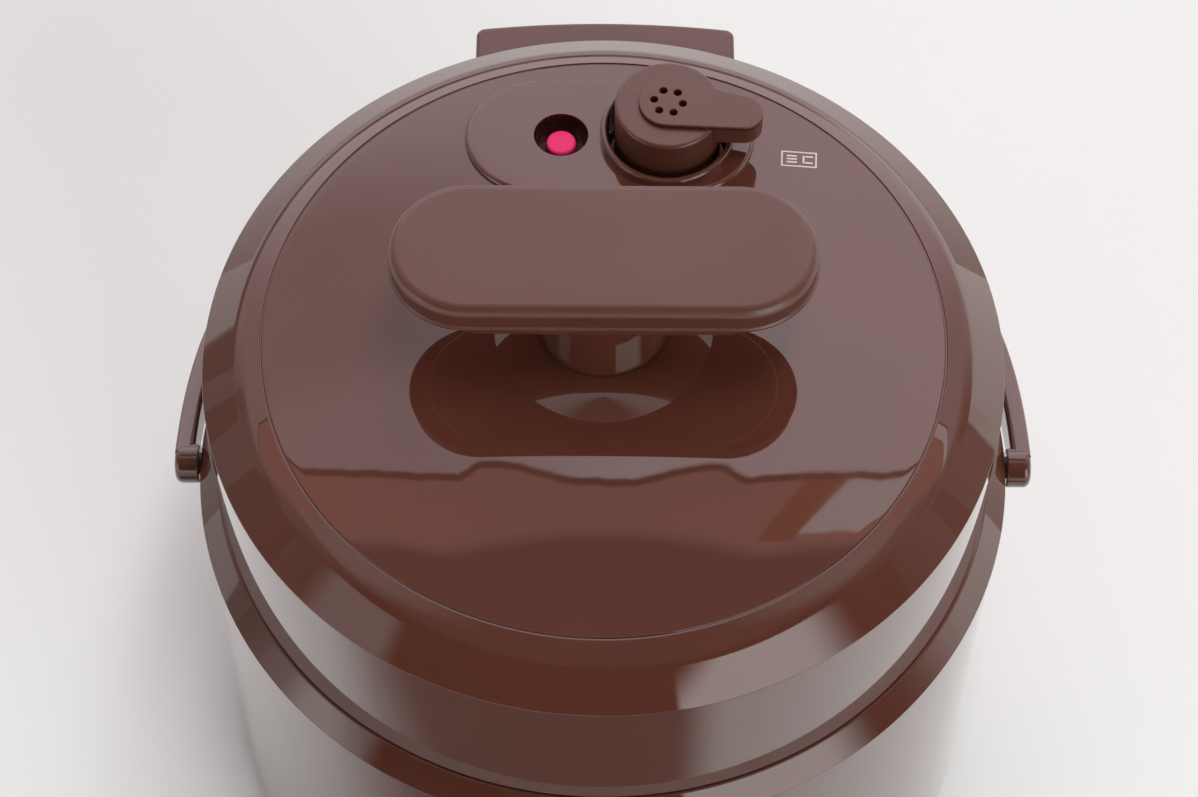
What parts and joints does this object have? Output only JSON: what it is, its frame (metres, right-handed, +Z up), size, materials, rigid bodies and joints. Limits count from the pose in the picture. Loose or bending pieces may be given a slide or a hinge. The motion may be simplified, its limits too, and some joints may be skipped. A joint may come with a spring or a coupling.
{
  "type": "electric pressure cooker",
  "caption": "Round electric pressure cooker with a hinged glossy lid, a T handle that turns a lug lock, a steam valve with a lever, a float pin, an inner pot and a folding bail.",
  "frame": {"origin": "On the floor, on the axis of the round body", "axes": "+Z up, -Y to the front panel, +Y to the hinge, +X to the right seen from the front"},
  "size_m": [0.27, 0.291, 0.2712],
  "materials": {
    "choc_gloss": "gloss",
    "choc_matte": "fine texture",
    "steel": "satin",
    "aluminium": "satin",
    "black_plastic": "matte",
    "foot_rubber": "matte",
    "silicone": "matte",
    "pin_pink": "semi gloss",
    "board": "semi gloss",
    "brass_pins": "satin",
    "display_glass": "gloss"
  },
  "bodies": {
    "base": {"base_pan": "choc_matte", "rubber_feet": "foot_rubber", "base_screws": "steel", "outer_shell": "choc_gloss", "top_ring": "choc_gloss", "outer_pot": "steel", "inner_pot": "aluminium", "heating_plate": "aluminium", "sensor_guide": "black_plastic", "sensor_spring": "steel", "thermal_fuse": "steel", "pressure_switch": "black_plastic", "power_board": "board", "power_inlet": "black_plastic", "inlet_pins": "brass_pins", "control_panel": "choc_matte", "display_window": "display_glass", "control_board": "board", "hinge_bracket": "choc_matte", "hinge_pin": "steel", "hinge_spring": "steel", "bail_studs": "black_plastic"},
    "sensor": {"sensor_cap": "steel"},
    "menu_button": {"button_menu": "choc_gloss"},
    "less_button": {"button_less": "choc_gloss"},
    "more_button": {"button_more": "choc_gloss"},
    "start_button": {"button_start": "choc_gloss"},
    "bail": {"bail_handle": "choc_gloss", "bail_grip": "choc_matte"},
    "lid": {"lid_rim": "choc_gloss", "lid_cover": "choc_gloss", "hinge_cover": "choc_matte", "lid_liner": "choc_matte", "lid_screws": "steel", "inner_lid": "aluminium", "lid_spacers": "steel", "sealing_ring": "silicone", "steam_pipe": "steel", "valve_strainer": "steel", "float_guide": "steel", "spindle_bush": "black_plastic"},
    "float_pin": {"float_cap": "pin_pink", "float_stem": "steel", "float_seal": "silicone"},
    "t_handle": {"handle_grip": "choc_matte", "handle_underplate": "choc_matte", "handle_screws": "steel", "handle_post": "choc_gloss", "handle_spindle": "steel", "spindle_nut": "steel", "lock_spider": "steel", "lock_ring": "steel"},
    "steam_valve": {"valve_knob": "choc_matte", "valve_lever": "choc_matte", "valve_weight": "steel", "valve_retainer": "black_plastic"}
  },
  "joints": [
    {"name": "lid_hinge", "type": "hinge", "parent": "base", "child": "lid", "pos_m": [0, 0.131, 0.168], "axis": [-1, 0, 0], "range_deg": [0, 80]},
    {"name": "handle_turn", "type": "hinge", "parent": "lid", "child": "t_handle", "pos_m": [0, 0, 0.226], "axis": [0, 0, 1], "range_deg": [0, 30]},
    {"name": "valve_turn", "type": "hinge", "parent": "lid", "child": "steam_valve", "pos_m": [0.0193, 0.0716, 0.226], "axis": [0, 0, 1], "range_deg": [0, 60]},
    {"name": "float_rise", "type": "slide", "parent": "lid", "child": "float_pin", "axis": [0, 0, 1], "range_m": [0, 0.0045]},
    {"name": "bail_swing", "type": "hinge", "parent": "base", "child": "bail", "pos_m": [0, 0, 0.15], "axis": [1, 0, 0], "range_deg": [0, 102]},
    {"name": "sensor_press", "type": "slide", "parent": "base", "child": "sensor", "axis": [0, 0, -1], "range_m": [0, 0.0025], "stiffness_N_per_m": 400, "springref_m": -0.003, "deforming": ["sensor_spring"]},
    {"name": "press_menu", "type": "slide", "parent": "base", "child": "menu_button", "axis": [0, 1, 0], "range_m": [0, 0.0012], "stiffness_N_per_m": 900, "springref_m": -0.0006},
    {"name": "press_less", "type": "slide", "parent": "base", "child": "less_button", "axis": [0, 1, 0], "range_m": [0, 0.0012], "stiffness_N_per_m": 900, "springref_m": -0.0006},
    {"name": "press_more", "type": "slide", "parent": "base", "child": "more_button", "axis": [0, 1, 0], "range_m": [0, 0.0012], "stiffness_N_per_m": 900, "springref_m": -0.0006},
    {"name": "press_start", "type": "slide", "parent": "base", "child": "start_button", "axis": [0, 1, 0], "range_m": [0, 0.0012], "stiffness_N_per_m": 900, "springref_m": -0.0006}
  ]
}
